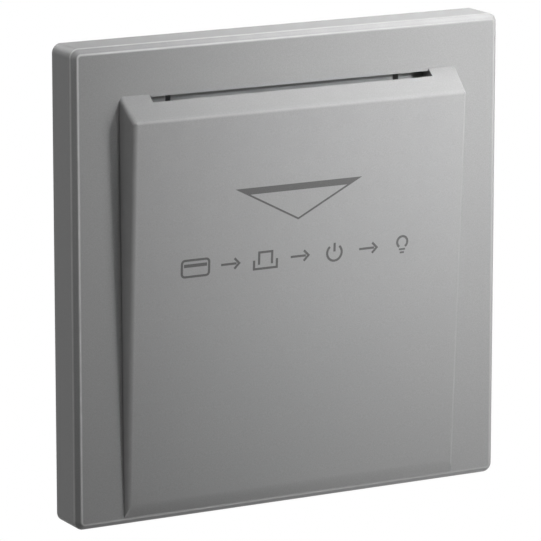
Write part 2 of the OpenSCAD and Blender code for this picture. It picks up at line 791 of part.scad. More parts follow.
module return_spring() {
    color("gray") upright() coil(floor_z, window_z1 - tail_web, 5, "return spring");
}

// Fixed bars and their contacts
module fixed_bar() {
    difference() {
        slab(bar_z1, bar_z0) panel(bar_x0, bar_low_y, bar_x0 + bar_w, bar_top_y - seat_clear, small_r);
        rod(contact_x, carrier_y, rivet_r + touch, bar_z1 - cut, bar_z0 + cut);
    }
}
module line_bar() {
    color("goldenrod") upright() mirror([1, 0, 0]) fixed_bar();
}
module load_bar() {
    color("goldenrod") upright() fixed_bar();
}
module fixed_contact() {
    translate([0, 0, fixed_tip_z0]) mirror([0, 0, 1]) turned(contact_x, carrier_y) polygon(rivet_profile);
}
module line_contact() {
    color("silver") upright() mirror([1, 0, 0]) fixed_contact();
}
module load_contact() {
    color("silver") upright() fixed_contact();
}

// Terminal pillars and their clamping screws
module pillar() {
    difference() {
        slab(floor_z, pillar_z0) panel(bar_x0, pillar_y0, bar_x0 + pillar_w, pillar_y1, small_r);
        translate([pillar_x, pillar_y1 - wire_hole_l, wire_z]) rotate([-90, 0, 0])
            cylinder(d = wire_hole_d, h = wire_hole_l + cut);
        rod(pillar_x, clamp_y, clamp_d / 2 + running_clear, floor_z - cut, wire_z);
        block([bar_x0 - cut, pillar_y0 - cut, bar_z1 - running_clear],
              [bar_x0 + bar_w + running_clear, bar_top_y, bar_z0 + running_clear]);
    }
}
module line_terminal() {
    color("gold") upright() mirror([1, 0, 0]) pillar();
}
module load_terminal() {
    color("gold") upright() pillar();
}
module clamp_screw() {
    profile = softened(
        [[0, clamp_end_z], [clamp_d / 2, clamp_end_z], [clamp_d / 2, clamp_tip_z], [0, clamp_tip_z]],
        [0, clamp_edge_r, clamp_tip_r, 0]);
    difference() {
        turned(pillar_x, clamp_y) polygon(profile);
        block([pillar_x - clamp_d, clamp_y - clamp_slot_w / 2, clamp_end_z - cut],
              [pillar_x + clamp_d, clamp_y + clamp_slot_w / 2, clamp_end_z + clamp_slot_t]);
    }
}
module line_screw() {
    color("lightgray") upright() mirror([1, 0, 0]) clamp_screw();
}
module load_screw() {
    color("lightgray") upright() clamp_screw();
}

front_cover();
support_frame();
chamber_wall();
frame_screws();
lid_screws();
rear_housing();
feeler_pin();
card_feeler();
contact_carrier();
contact_bridge();
moving_contacts();
contact_spring();
return_spring();
line_bar();
load_bar();
line_contact();
load_contact();
line_terminal();
load_terminal();
line_screw();
load_screw();
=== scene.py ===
"""Looks of a wall switch that is worked by a hotel key card.

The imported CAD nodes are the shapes. This script gives them their surfaces, adds the printed signs
on the hood, winds the two springs from round wire, and sets the light and the camera.
All lengths are in metres: X to the right, Y into the wall, Z up.
"""
import math

import bpy
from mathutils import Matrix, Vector


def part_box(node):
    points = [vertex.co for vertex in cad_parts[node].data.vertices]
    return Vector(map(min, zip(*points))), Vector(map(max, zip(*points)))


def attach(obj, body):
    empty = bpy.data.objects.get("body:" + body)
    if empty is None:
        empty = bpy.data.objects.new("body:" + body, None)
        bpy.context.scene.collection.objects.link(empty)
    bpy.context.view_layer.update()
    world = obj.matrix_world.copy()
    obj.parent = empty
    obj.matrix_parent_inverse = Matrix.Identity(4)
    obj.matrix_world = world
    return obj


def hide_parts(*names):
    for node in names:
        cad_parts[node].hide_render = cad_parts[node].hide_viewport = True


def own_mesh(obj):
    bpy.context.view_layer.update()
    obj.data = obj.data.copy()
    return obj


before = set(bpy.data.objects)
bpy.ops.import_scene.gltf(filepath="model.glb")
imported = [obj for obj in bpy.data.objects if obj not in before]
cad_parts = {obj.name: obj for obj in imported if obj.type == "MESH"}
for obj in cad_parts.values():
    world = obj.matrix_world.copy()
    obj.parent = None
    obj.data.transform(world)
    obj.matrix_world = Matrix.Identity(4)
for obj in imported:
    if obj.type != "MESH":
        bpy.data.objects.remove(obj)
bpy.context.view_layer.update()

MM = 0.001
WHITE = (1.0, 1.0, 1.0, 1.0)

# Sizes of the cover, as in the part's source
PLATE_HALF = 43.0 * MM
CORNER_R = 1.7 * MM
RIM_BEVEL = 1.0 * MM
FACE_OUT = 8.2 * MM

# Front of the hood: its top edge, and its slope carried on to the plate's lower side
HOOD_TOP_Z = 30.1 * MM
HOOD_TOP_OUT = 13.1 * MM
HOOD_HALF_W = 33.5 * MM
HOOD_SLOPE = 0.055635
HOOD_FOOT_OUT = HOOD_TOP_OUT - HOOD_SLOPE * (HOOD_TOP_Z + PLATE_HALF)

# Sizes of the springs, as in the part's source
COIL_R = 2.05 * MM
WIRE_R = 0.25 * MM
CARRIER_Z = -21.0 * MM


# Node graphs of the materials

# Span that holds nearly all values of a noise, and the two ways that a mask runs
NOISE_SPAN = (0.3, 0.7)
RISE = (0.0, 1.0)
FALL = (1.0, 0.0)

# Cosines between a surface and its rounded form where an edge begins and where it is full
EDGE_SPAN = (0.995, 0.88)
EDGE_SAMPLES = 6


class Graph:
    """Node tree of one material, with short calls for the nodes that the materials share."""

    def __init__(self, name):
        self.material = bpy.data.materials.new(name + "_look")
        self.material.use_nodes = True
        self.tree = self.material.node_tree
        self.shader = self.tree.nodes["Principled BSDF"]
        self.place = self.add("ShaderNodeTexCoord").outputs["Object"]

    def add(self, kind, **settings):
        node = self.tree.nodes.new(kind)
        for key, value in settings.items():
            setattr(node, key, value)
        return node

    def feed(self, socket, value):
        """Links an output to the socket, or sets the socket to a plain value."""
        if isinstance(value, bpy.types.NodeSocket):
            self.tree.links.new(value, socket)
        else:
            socket.default_value = value

    def surface(self, name, value):
        """Feeds one input of the material's shader."""
        self.feed(self.shader.inputs[name], value)

    def math(self, operation, first, second=0.0):
        node = self.add("ShaderNodeMath", operation=operation)
        self.feed(node.inputs[0], first)
        self.feed(node.inputs[1], second)
        return node.outputs[0]

    def product(self, first, *others):
        for other in others:
            first = self.math("MULTIPLY", first, other)
        return first

    def greatest(self, first, *others):
        for other in others:
            first = self.math("MAXIMUM", first, other)
        return first

    def distance(self, across, along):
        """Length of the slanting side of a right triangle with these two sides."""
        squares = self.math("ADD", self.math("POWER", across, 2.0), self.math("POWER", along, 2.0))
        return self.math("SQRT", squares)

    def vector(self, operation, first, second):
        node = self.add("ShaderNodeVectorMath", operation=operation)
        self.feed(node.inputs[0], first)
        self.feed(node.inputs[1], second)
        return node.outputs

    def axes(self, vector):
        node = self.add("ShaderNodeSeparateXYZ")
        self.feed(node.inputs[0], vector)
        return node.outputs

    def noise(self, grain, detail, stretch=(1.0, 1.0, 1.0)):
        """Noise whose spots are about grain wide, drawn out along an axis by stretch."""
        spread = self.vector("MULTIPLY", self.place, [1.0 / s for s in stretch])[0]
        node = self.add("ShaderNodeTexNoise")
        self.feed(node.inputs["Vector"], spread)
        node.inputs["Scale"].default_value = 1.0 / grain
        node.inputs["Detail"].default_value = detail
        return node.outputs["Fac"]

    def ramp(self, value, span, result, smooth=False):
        """Takes the ends of a span of values to the two results, and stays level beyond them."""
        node = self.add("ShaderNodeMapRange")
        if smooth:
            node.interpolation_type = "SMOOTHSTEP"
        self.feed(node.inputs["Value"], value)
        node.inputs["From Min"].default_value = span[0]
        node.inputs["From Max"].default_value = span[1]
        node.inputs["To Min"].default_value = result[0]
        node.inputs["To Max"].default_value = result[1]
        return node.outputs["Result"]

    def mix(self, factor, first, second):
        node = self.add("ShaderNodeMix", data_type="RGBA")
        self.feed(node.inputs["Factor"], factor)
        colours = [s for s in node.inputs if s.type == "RGBA"]
        self.feed(colours[0], first)
        self.feed(colours[1], second)
        return [s for s in node.outputs if s.type == "RGBA"][0]

    def bump(self, height, depth, under=None):
        node = self.add("ShaderNodeBump")
        node.inputs["Distance"].default_value = depth
        self.feed(node.inputs["Height"], height)
        if under is not None:
            self.feed(node.inputs["Normal"], under)
        return node.outputs["Normal"]

    def edges(self, width):
        """One along the sharp edges, falling to zero about width away from them."""
        bevel = self.add("ShaderNodeBevel", samples=EDGE_SAMPLES)
        bevel.inputs["Radius"].default_value = width
        normal = self.add("ShaderNodeNewGeometry").outputs["Normal"]
        same = self.vector("DOT_PRODUCT", bevel.outputs["Normal"], normal)["Value"]
        return self.ramp(same, EDGE_SPAN, RISE)

    def finish(self, colour, roughness, normal):
        self.surface("Base Color", colour)
        self.surface("Roughness", roughness)
        self.surface("Normal", normal)
        return self.material


PLAIN = (1.0, 1.0, 1.0)
WARM = (1.0, 0.97, 0.9)
COOL = (0.97, 0.99, 1.0)
BRASS = (1.0, 0.78, 0.42)


def shade(level, tint=PLAIN):
    return (level * tint[0], level * tint[1], level * tint[2], 1.0)


# Paint of the cover

# Painted highlights along the edges, pale lines that stand in for the light on the rounded edges: how
# wide they are, and how strong, where 1 is the most
FACE_EDGE_W = 0.36 * MM
WALL_EDGE_W = 0.34 * MM
SHELF_EDGE_W = 0.6 * MM
SHELF_EDGE_HIGHLIGHT = 0.3
RIGHT_END_HIGHLIGHT = 0.25
BEVEL_HIGHLIGHT_W = 1.1 * MM
TOP_BEVEL_Z = 0.9 * PLATE_HALF
TOP_BEVEL_HIGHLIGHT = 0.26

# Painted light on the hood: its left side lighter near the front, and its front and shelf lighter
# towards the top
HOOD_SIDE_X = 0.98 * HOOD_HALF_W
HOOD_SIDE_PAINTED_LIGHT = 0.35
HOOD_SIDE_DEPTH = 5.0 * MM
HOOD_FRONT_PAINTED_LIGHT = 0.11
SHELF_SHARE = 0.35
OVER_FACE = 0.3 * MM
OVER_FRONT = 0.6 * MM

# The paint itself: its flakes, clouds and skin, and the pale colour of its painted highlights and
# painted light, in patches of uneven strength
FLAKE_W = 0.16 * MM
FLAKE_DEPTH = 0.002 * MM
FLAKE_DARK = shade(0.265)
FLAKE_PALE = shade(0.305)
CLOUD_W = 14.0 * MM
CLOUD_COLOUR = shade(0.27, (0.99, 1.0, 1.01))
CLOUD_STRENGTH = (0.0, 0.25)
SKIN_W = 0.5 * MM
SKIN_DEPTH = 0.004 * MM
PAINTED_LIGHT_PATCH_W = 3.0 * MM
PAINTED_LIGHT_COLOUR = shade(0.72)
PAINTED_LIGHT_STRENGTH = (0.75, 1.0)
MOST_PAINTED_LIGHT = 0.85
PAINT_ROUGHNESS = (0.42, 0.52)
PAINT_SPECULAR = 0.15


def rim_distance(graph):
    """Distance out from the centres of the plate's round corners, the same all round the rim."""
    core = PLATE_HALF - CORNER_R
    x, _, z = graph.axes(graph.place)
    beyond_x = graph.math("MAXIMUM", graph.math("SUBTRACT", graph.math("ABSOLUTE", x), core))
    beyond_z = graph.math("MAXIMUM", graph.math("SUBTRACT", graph.math("ABSOLUTE", z), core))
    return graph.distance(beyond_x, beyond_z)


def line_mask(graph, across, depth, at_across, at_depth, width):
    """One along a long edge, given by its place in two directions, fading out over width."""
    off_across = graph.math("SUBTRACT", across, at_across)
    off_depth = graph.math("SUBTRACT", depth, at_depth)
    return graph.ramp(graph.distance(off_across, off_depth), (0.0, width), FALL, smooth=True)


def edge_highlights(graph, x, out, z):
    """Painted highlights along the rim's edges and the hood's top edge, most to the left, and a painted
    highlight on the top bevel.
    """
    half_bevel = RIM_BEVEL / 2
    rim = rim_distance(graph)
    face_edge = line_mask(graph, rim, out, CORNER_R - RIM_BEVEL, FACE_OUT, FACE_EDGE_W)
    wall_edge = line_mask(graph, rim, out, CORNER_R, FACE_OUT - RIM_BEVEL, WALL_EDGE_W)
    shelf_edge = line_mask(graph, z, out, HOOD_TOP_Z, HOOD_TOP_OUT, SHELF_EDGE_W)
    bevel = line_mask(graph, rim, out, CORNER_R - half_bevel, FACE_OUT - half_bevel, BEVEL_HIGHLIGHT_W)
    to_left = graph.ramp(x, (-PLATE_HALF, PLATE_HALF), (1.0, RIGHT_END_HIGHLIGHT))
    # Painted highlight: the bevel is lighter towards the top of the plate
    to_top = graph.ramp(z, (TOP_BEVEL_Z, PLATE_HALF), (0.0, TOP_BEVEL_HIGHLIGHT))
    lines = graph.greatest(face_edge, wall_edge, graph.product(shelf_edge, SHELF_EDGE_HIGHLIGHT))
    return graph.greatest(graph.product(lines, to_left), graph.product(bevel, to_top))


def hood_painted_light(graph, x, out, z):
    """Painted light on the hood: its left side lighter, and a little on its front and shelf, more
    towards the top.
    """
    hood_height = (-PLATE_HALF, HOOD_TOP_Z)
    front = graph.ramp(z, hood_height, (HOOD_FOOT_OUT, HOOD_TOP_OUT))
    behind_front = graph.math("SUBTRACT", front, out)
    on_hood = graph.ramp(out, (FACE_OUT, FACE_OUT + OVER_FACE), RISE)
    on_side = graph.ramp(graph.math("ABSOLUTE", x), (HOOD_SIDE_X, HOOD_HALF_W), (0.0, HOOD_SIDE_PAINTED_LIGHT))
    to_left = graph.ramp(x, (-HOOD_HALF_W, HOOD_HALF_W), FALL)
    near_front = graph.ramp(behind_front, (0.0, HOOD_SIDE_DEPTH), FALL)
    to_top = graph.ramp(z, hood_height, (0.0, HOOD_FRONT_PAINTED_LIGHT))
    off_shelf = graph.ramp(z, (HOOD_TOP_Z, HOOD_TOP_Z + OVER_FRONT), (1.0, SHELF_SHARE))
    side = graph.product(near_front, on_hood, on_side, to_left)
    return graph.greatest(side, graph.product(to_top, off_shelf, on_hood))


def cover_paint():
    """Satin grey paint with fine metal flakes, with painted highlights along its edges and painted light
    on the hood.
    """
    graph = Graph("cover_paint")
    x, y, z = graph.axes(graph.place)
    out = graph.math("MULTIPLY", y, -1.0)
    flakes = graph.noise(FLAKE_W, detail=1.0)
    clouds = graph.noise(CLOUD_W, detail=3.0)
    # Painted highlights on the edges and painted light on the hood, of uneven strength in patches, mixed
    # towards a pale colour
    uneven = graph.ramp(graph.noise(PAINTED_LIGHT_PATCH_W, detail=4.0), NOISE_SPAN, PAINTED_LIGHT_STRENGTH)
    painted_light = graph.greatest(edge_highlights(graph, x, out, z), hood_painted_light(graph, x, out, z))
    colour = graph.mix(graph.ramp(flakes, NOISE_SPAN, RISE), FLAKE_DARK, FLAKE_PALE)
    colour = graph.mix(graph.ramp(clouds, NOISE_SPAN, CLOUD_STRENGTH), colour, CLOUD_COLOUR)
    colour = graph.mix(graph.product(painted_light, uneven, MOST_PAINTED_LIGHT), colour, PAINTED_LIGHT_COLOUR)
    roughness = graph.ramp(flakes, NOISE_SPAN, PAINT_ROUGHNESS)
    skin = graph.bump(graph.noise(SKIN_W, detail=2.0), SKIN_DEPTH)
    graph.surface("Specular IOR Level", PAINT_SPECULAR)
    return graph.finish(colour, roughness, graph.bump(flakes, FLAKE_DEPTH, skin))


# Moulded plastics. Levels of their marks are shares of the plastic's own level
FLOW_W = 9.0 * MM
FLOW_LEVELS = (0.94, 1.05)
GRAIN_W = 0.22 * MM
SPECK_W = 0.3 * MM
SPECK_LEVEL = 0.85
SPECK_SPAN = (0.6, 0.75)
SPECK_STRENGTH = (0.0, 0.6)
RUBBED_W = 0.25 * MM
RUBBED_LEVEL = 1.25
RUBBED_LIMIT = 0.85
RUBBED_SPAN = (0.35, 0.65)
RUBBED_STRENGTH = (0.3, 0.7)
GLOSS_W = 1.5 * MM
GLOSS_SWING = 0.06
PLASTIC_SPECULAR = 0.4


def moulded(name, level, tint, roughness, grain_depth):
    """Moulded plastic: a fine spark-eroded grain, faint flow clouds and edges that are rubbed paler."""
    graph = Graph(name)
    clouds = graph.noise(FLOW_W, detail=3.0)
    specks = graph.noise(SPECK_W, detail=2.0)
    grain = graph.noise(GRAIN_W, detail=3.0)
    patches = graph.noise(GLOSS_W, detail=3.0)
    low, high = [shade(share * level, tint) for share in FLOW_LEVELS]
    dark = shade(SPECK_LEVEL * level, tint)
    pale = shade(min(RUBBED_LEVEL * level, RUBBED_LIMIT), tint)
    rubbed = graph.product(graph.edges(RUBBED_W), graph.ramp(clouds, RUBBED_SPAN, RUBBED_STRENGTH))
    colour = graph.mix(graph.ramp(clouds, NOISE_SPAN, RISE), low, high)
    colour = graph.mix(graph.ramp(specks, SPECK_SPAN, SPECK_STRENGTH), colour, dark)
    colour = graph.mix(rubbed, colour, pale)
    gloss = graph.ramp(patches, NOISE_SPAN, (roughness - GLOSS_SWING, roughness + GLOSS_SWING))
    graph.surface("Specular IOR Level", PLASTIC_SPECULAR)
    return graph.finish(colour, gloss, graph.bump(grain, grain_depth))


# Metals. Levels of their marks are shares of the metal's own level
DRAWN_W = 0.12 * MM
DRAWN_LEVELS = (0.9, 1.06)
DRAWN_DEPTH = 0.003 * MM
TARNISH_W = 1.6 * MM
TARNISH_SPAN = (0.5, 0.8)
TARNISH_STRENGTH = (0.0, 0.4)
BRIGHT_W = 0.15 * MM
BRIGHT_LEVEL = 1.2
BRIGHT_LIMIT = 0.95
BRIGHT_STRENGTH = 0.7
SMOOTH_SPAN = (0.35, 0.7)
SMOOTHER = 0.05
ROUGHER = 0.12
THREAD_DEPTH = 0.12 * MM


def drawn_metal(name, level, tint, roughness, stretch, tarnish, thread=0.0):
    """Drawn or stamped metal: fine lines along one axis, tarnish in spots and bright rubbed edges."""
    graph = Graph(name)
    lines = graph.noise(DRAWN_W, detail=2.0, stretch=stretch)
    spots = graph.noise(TARNISH_W, detail=4.0)
    low, high = [shade(share * level, tint) for share in DRAWN_LEVELS]
    bright = shade(min(BRIGHT_LEVEL * level, BRIGHT_LIMIT), tint)
    colour = graph.mix(graph.ramp(lines, NOISE_SPAN, RISE), low, high)
    colour = graph.mix(graph.ramp(spots, TARNISH_SPAN, TARNISH_STRENGTH), colour, tarnish)
    colour = graph.mix(graph.product(graph.edges(BRIGHT_W), BRIGHT_STRENGTH), colour, bright)
    gloss = graph.ramp(spots, SMOOTH_SPAN, (roughness - SMOOTHER, roughness + ROUGHER))
    normal = graph.bump(lines, DRAWN_DEPTH)
    if thread > 0.0:
        _, y, _ = graph.axes(graph.place)
        wave = graph.math("SINE", graph.product(y, 2.0 * math.pi / thread))
        normal = graph.bump(wave, THREAD_DEPTH, normal)
    graph.surface("Metallic", 1.0)
    return graph.finish(colour, gloss, normal)


# Ink of the signs, where it is full and in its thin spots
INK_DARK = shade(0.095)
INK_PALE = shade(0.115)
INK_THIN = shade(0.15)
INK_ROUGHNESS = (0.5, 0.62)
INK_SPECULAR = 0.2
SCREEN_W = 0.12 * MM
SCREEN_SPAN = (0.35, 0.65)
SCREEN_DEPTH = 0.002 * MM
THIN_W = 1.2 * MM
THIN_SPAN = (0.6, 0.8)
THIN_STRENGTH = (0.0, 0.5)


def sign_ink():
    """Matt grey printing ink with a faint screen grain and slightly thin spots."""
    graph = Graph("sign_ink")
    screen = graph.noise(SCREEN_W, detail=1.0)
    thin = graph.noise(THIN_W, detail=3.0)
    colour = graph.mix(graph.ramp(screen, SCREEN_SPAN, RISE), INK_DARK, INK_PALE)
    colour = graph.mix(graph.ramp(thin, THIN_SPAN, THIN_STRENGTH), colour, INK_THIN)
    roughness = graph.ramp(thin, NOISE_SPAN, INK_ROUGHNESS)
    graph.surface("Specular IOR Level", INK_SPECULAR)
    return graph.finish(colour, roughness, graph.bump(screen, SCREEN_DEPTH))


# Colours of tarnish, directions of drawn lines, and the screws' thread
DULL_BRASS = (0.28, 0.18, 0.08, 1.0)
DULL_STEEL = (0.33, 0.32, 0.3, 1.0)
DULL_SILVER = (0.42, 0.4, 0.36, 1.0)
ALONG_X = (12.0, 1.0, 1.0)
ALONG_Y = (1.0, 12.0, 1.0)
ALONG_Z = (1.0, 1.0, 12.0)
SCREW_PITCH = 0.7 * MM

# Plastics: level, tint, roughness, depth of grain. Metals: level, tint, roughness, lines, tarnish
MATERIALS = {
    "cover_paint": cover_paint(),
    "frame_plastic": moulded("frame_plastic", 0.36, COOL, 0.5, 0.012 * MM),
    "wall_plastic": moulded("wall_plastic", 0.4, COOL, 0.48, 0.01 * MM),
    "housing_plastic": moulded("housing_plastic", 0.62, WARM, 0.5, 0.014 * MM),
    "feeler_plastic": moulded("feeler_plastic", 0.66, WARM, 0.4, 0.006 * MM),
    "carrier_plastic": moulded("carrier_plastic", 0.45, WARM, 0.45, 0.008 * MM),
    "steel": drawn_metal("steel", 0.62, COOL, 0.32, ALONG_Y, DULL_STEEL),
    "brass": drawn_metal("brass", 0.75, BRASS, 0.3, ALONG_Z, DULL_BRASS),
    "contact_silver": drawn_metal("contact_silver", 0.8, WARM, 0.28, ALONG_X, DULL_SILVER),
}
THREADED_STEEL = drawn_metal("threaded_steel", 0.62, COOL, 0.32, ALONG_Y, DULL_STEEL, SCREW_PITCH)
SIGN_INK = sign_ink()
SCREW_NODES = ("frame_screws", "lid_screws", "line_screw", "load_screw")


# CAD nodes

WELD_DISTANCE = 0.001 * MM
SHARP_ANGLE = math.radians(24.0)


def round_shading():
    """Node group that joins the faces of a CAD mesh and keeps its sharp edges sharp."""
    group = bpy.data.node_groups.new("round_shading", "GeometryNodeTree")
    group.interface.new_socket("Geometry", in_out="INPUT", socket_type="NodeSocketGeometry")
    group.interface.new_socket("Geometry", in_out="OUTPUT", socket_type="NodeSocketGeometry")
    start = group.nodes.new("NodeGroupInput")
    merge = group.nodes.new("GeometryNodeMergeByDistance")
    merge.inputs["Distance"].default_value = WELD_DISTANCE
    angle = group.nodes.new("GeometryNodeInputMeshEdgeAngle")
    compare = group.nodes.new("FunctionNodeCompare")
    compare.operation = "GREATER_THAN"
    compare.inputs[1].default_value = SHARP_ANGLE
    normals = group.nodes.new("GeometryNodeSetMeshNormal")
    normals.mode = "SHARPNESS"
    end = group.nodes.new("NodeGroupOutput")
    group.links.new(start.outputs[0], merge.inputs["Geometry"])
    group.links.new(merge.outputs["Geometry"], normals.inputs["Mesh"])
    group.links.new(angle.outputs["Unsigned Angle"], compare.inputs[0])
    group.links.new(compare.outputs[0], normals.inputs["Edge Sharpness"])
    group.links.new(normals.outputs["Mesh"], end.inputs[0])
    return group


def dress_nodes():
    """Gives each CAD node the material of its slot, and smooth shading over its rounded edges."""
    group = round_shading()
    for name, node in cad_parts.items():
        slot = node.material_slots[0]
        slot.material = MATERIALS[slot.material.name.split(".")[0]]
        if name in SCREW_NODES:
            slot.material = THREADED_STEEL
        shading = node.modifiers.new("round_shading", "NODES")
        shading.node_group = group
        weighted = node.modifiers.new("flat_faces", "WEIGHTED_NORMAL")
        weighted.keep_sharp = True


# Pieces

def mesh_piece(name, points, faces, body, material):
    mesh = bpy.data.meshes.new(name)
    mesh.from_pydata(points, [], faces)
    mesh.validate()
    mesh.materials.append(material)
    piece = bpy.data.objects.new(name, mesh)
    bpy.context.scene.collection.objects.link(piece)
    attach(piece, body)
    return piece


class Print:
    """Thin printed marks on the sloping front of the hood, drawn as bands in X and Z."""

    PROUD = 0.04 * MM
    SUNK = 0.02 * MM
    RING = 4

    def __init__(self):
        self.points = []
        self.faces = []

    def on_hood(self, x, z, lift):
        out = HOOD_TOP_OUT - (HOOD_TOP_Z - z) * HOOD_SLOPE
        return (x, -(out + lift), z)

    def band(self, left, right, closed):
        """Closed plate between two lines of points that run side by side, with a ring at each pair."""
        count = len(left)
        base = len(self.points)
        for (lx, lz), (rx, rz) in zip(left, right):
            self.points.append(self.on_hood(lx, lz, self.PROUD))
            self.points.append(self.on_hood(rx, rz, self.PROUD))
            self.points.append(self.on_hood(rx, rz, -self.SUNK))
            self.points.append(self.on_hood(lx, lz, -self.SUNK))
        for i in range(count if closed else count - 1):
            a = base + self.RING * i
            b = base + self.RING * ((i + 1) % count)
            for k in range(self.RING):
                n = (k + 1) % self.RING
                self.faces.append((a + k, a + n, b + n, b + k))
        if not closed:
            last = base + self.RING * (count - 1)
            self.faces.append((base + 3, base + 2, base + 1, base))
            self.faces.append((last, last + 1, last + 2, last + 3))

    def stroke(self, path, width, closed=False):
        """Line of one width along a path, mitred at its turns."""
        left = []
        right = []
        count = len(path)
        for i, (x, z) in enumerate(path):
            before = path[i - 1] if closed or i > 0 else None
            after = path[(i + 1) % count] if closed or i < count - 1 else None
            side = mitre(before, (x, z), after)
            left.append((x + side[0] * width / 2, z + side[1] * width / 2))
            right.append((x - side[0] * width / 2, z - side[1] * width / 2))
        self.band(left, right, closed)

    def piece(self, name):
        mesh_piece(name, self.points, self.faces, "cover", SIGN_INK)


# Share of a line's width at a sharp turn, below which its corner runs out no further
MITRE_LIMIT = 0.3


def mitre(before, here, after):
    """Sideways direction at a point of a path, lengthened so that both arms keep their width."""
    arms = []
    if before is not None:
        arms.append(Vector((here[0] - before[0], here[1] - before[1])).normalized())
    if after is not None:
        arms.append(Vector((after[0] - here[0], after[1] - here[1])).normalized())
    sides = [Vector((-arm.y, arm.x)) for arm in arms]
    middle = sum(sides, Vector((0.0, 0.0))).normalized()
    return middle / max(middle.dot(sides[0]), MITRE_LIMIT)


def arc(x, z, radius, start, end, steps):
    """Points on a circle; degrees, counted from the right and turning upwards."""
    angles = [math.radians(start + (end - start) * i / steps) for i in range(steps + 1)]
    return [(x + radius * math.cos(a), z + radius * math.sin(a)) for a in angles]


def round_box(x, z, width, height, radius):
    """Points round a rectangle with round corners."""
    corner_steps = 4
    points = []
    for turn, sx, sz in ((0, 1, 1), (90, -1, 1), (180, -1, -1), (270, 1, -1)):
        at_x = x + sx * (width / 2 - radius)
        at_z = z + sz * (height / 2 - radius)
        points += arc(at_x, at_z, radius, turn, turn + 90, corner_steps)
    return points


# Downward triangle: a thick bar on top and two thin sides
TRIANGLE_X = -0.6 * MM
TRIANGLE_TOP_Z = 16.48 * MM
TRIANGLE_TIP_Z = 9.82 * MM
TRIANGLE_HALF_W = 12.8 * MM
TRIANGLE_BAR = 1.2 * MM
TRIANGLE_SIDE = 0.33 * MM


def triangle_corners(half_w, top_z, tip_z):
    return [(TRIANGLE_X - half_w, top_z), (TRIANGLE_X + half_w, top_z), (TRIANGLE_X, tip_z)]


def triangle_sign():
    drop = TRIANGLE_TOP_Z - TRIANGLE_TIP_Z
    side_l = math.hypot(TRIANGLE_HALF_W, drop)
    inner_tip_z = TRIANGLE_TIP_Z + TRIANGLE_SIDE * side_l / TRIANGLE_HALF_W
    inner_top_z = TRIANGLE_TOP_Z - TRIANGLE_BAR
    inner_half_w = (inner_top_z - inner_tip_z) * TRIANGLE_HALF_W / drop
    outer = triangle_corners(TRIANGLE_HALF_W, TRIANGLE_TOP_Z, TRIANGLE_TIP_Z)
    inner = triangle_corners(inner_half_w, inner_top_z, inner_tip_z)
    sign = Print()
    sign.band(outer, inner, closed=True)
    sign.piece("triangle_sign")


# Row of plain signs: a card, a slot, the on sign and a lamp, with arrows between them
ROW_Z = 3.05 * MM
ROW_H = 3.4 * MM
ROW_LINE = 0.42 * MM
SIGN_STEP = 14.0 * MM


def card_mark(sign, x):
    width = 5.4 * MM
    corner = 0.6 * MM
    stripe = 0.6 * MM
    stripe_z = ROW_Z + 0.5 * MM
    stripe_half = width / 2 - ROW_LINE
    sign.stroke(round_box(x, ROW_Z, width, ROW_H - ROW_LINE, corner), ROW_LINE, closed=True)
    sign.stroke([(x - stripe_half, stripe_z), (x + stripe_half, stripe_z)], stripe)


def slot_mark(sign, x):
    half = 2.3 * MM
    card_half = 1.3 * MM
    rim = ROW_Z + 0.1 * MM
    low = ROW_Z - ROW_H / 2 + ROW_LINE / 2
    top = ROW_Z + ROW_H / 2 - ROW_LINE / 2
    foot = low + 0.75 * MM
    tray = [(x - half, rim), (x - half, low), (x + half, low), (x + half, rim)]
    card = [(x - card_half, foot), (x - card_half, top), (x + card_half, top), (x + card_half, foot)]
    sign.stroke(tray, ROW_LINE)
    sign.stroke(card, ROW_LINE)


def power_mark(sign, x):
    radius = (ROW_H - ROW_LINE) / 2
    ring_z = ROW_Z - 0.1 * MM
    bar_z = ROW_Z + 0.1 * MM
    start = 130
    end = 410
    sign.stroke(arc(x, ring_z, radius, start, end, steps=20), ROW_LINE)
    sign.stroke([(x, bar_z), (x, ROW_Z + ROW_H / 2)], ROW_LINE)


def lamp_mark(sign, x):
    bulb_z = ROW_Z + 0.45 * MM
    bulb_r = 1.05 * MM
    cap_line = 0.34 * MM
    caps = ((1.35 * MM, 0.62 * MM), (1.95 * MM, 0.42 * MM))
    start = -55
    end = 235
    sign.stroke(arc(x, bulb_z, bulb_r, start, end, steps=18), ROW_LINE)
    for drop, half in caps:
        sign.stroke([(x - half, bulb_z - drop), (x + half, bulb_z - drop)], cap_line)


def arrow_mark(sign, x):
    tip = x + 1.7 * MM
    tail = x - 1.9 * MM
    head = 0.95 * MM
    shaft_end = tip - 0.55 * MM
    sign.stroke([(tail, ROW_Z), (shaft_end, ROW_Z)], ROW_LINE)
    sign.stroke([(tip - head, ROW_Z + head), (tip, ROW_Z), (tip - head, ROW_Z - head)], ROW_LINE)


def sign_row():
    marks = (card_mark, slot_mark, power_mark, lamp_mark)
    last = len(marks) - 1
    first_x = -last / 2 * SIGN_STEP
    sign = Print()
    for place, mark in enumerate(marks):
        mark(sign, first_x + place * SIGN_STEP)
        if place < last:
            arrow_mark(sign, first_x + (place + 0.5) * SIGN_STEP)
    sign.piece("sign_row")


# Springs: open turns between two ends that are wound close
WIRE_SIDES = 12
STEPS_PER_TURN = 36
CLOSED_TURNS = 0.8
CLOSE_PITCH = 1.08 * 2 * WIRE_R
CONTACT_TURNS = 2.0
RETURN_TURNS = 4.0
COIL_AXIS = Vector((0.0, 1.0, 0.0))


def coil_level(wound, turns, length):
    """Level of the wire's centre after some turns, from the first end of a coil of this length."""
    open_turns = min(max(wound - CLOSED_TURNS, 0.0), turns)
    close_turns = min(wound, CLOSED_TURNS) + max(wound - CLOSED_TURNS - turns, 0.0)
    open_length = length - 2 * CLOSE_PITCH * CLOSED_TURNS
    return CLOSE_PITCH * close_turns + open_length * open_turns / turns


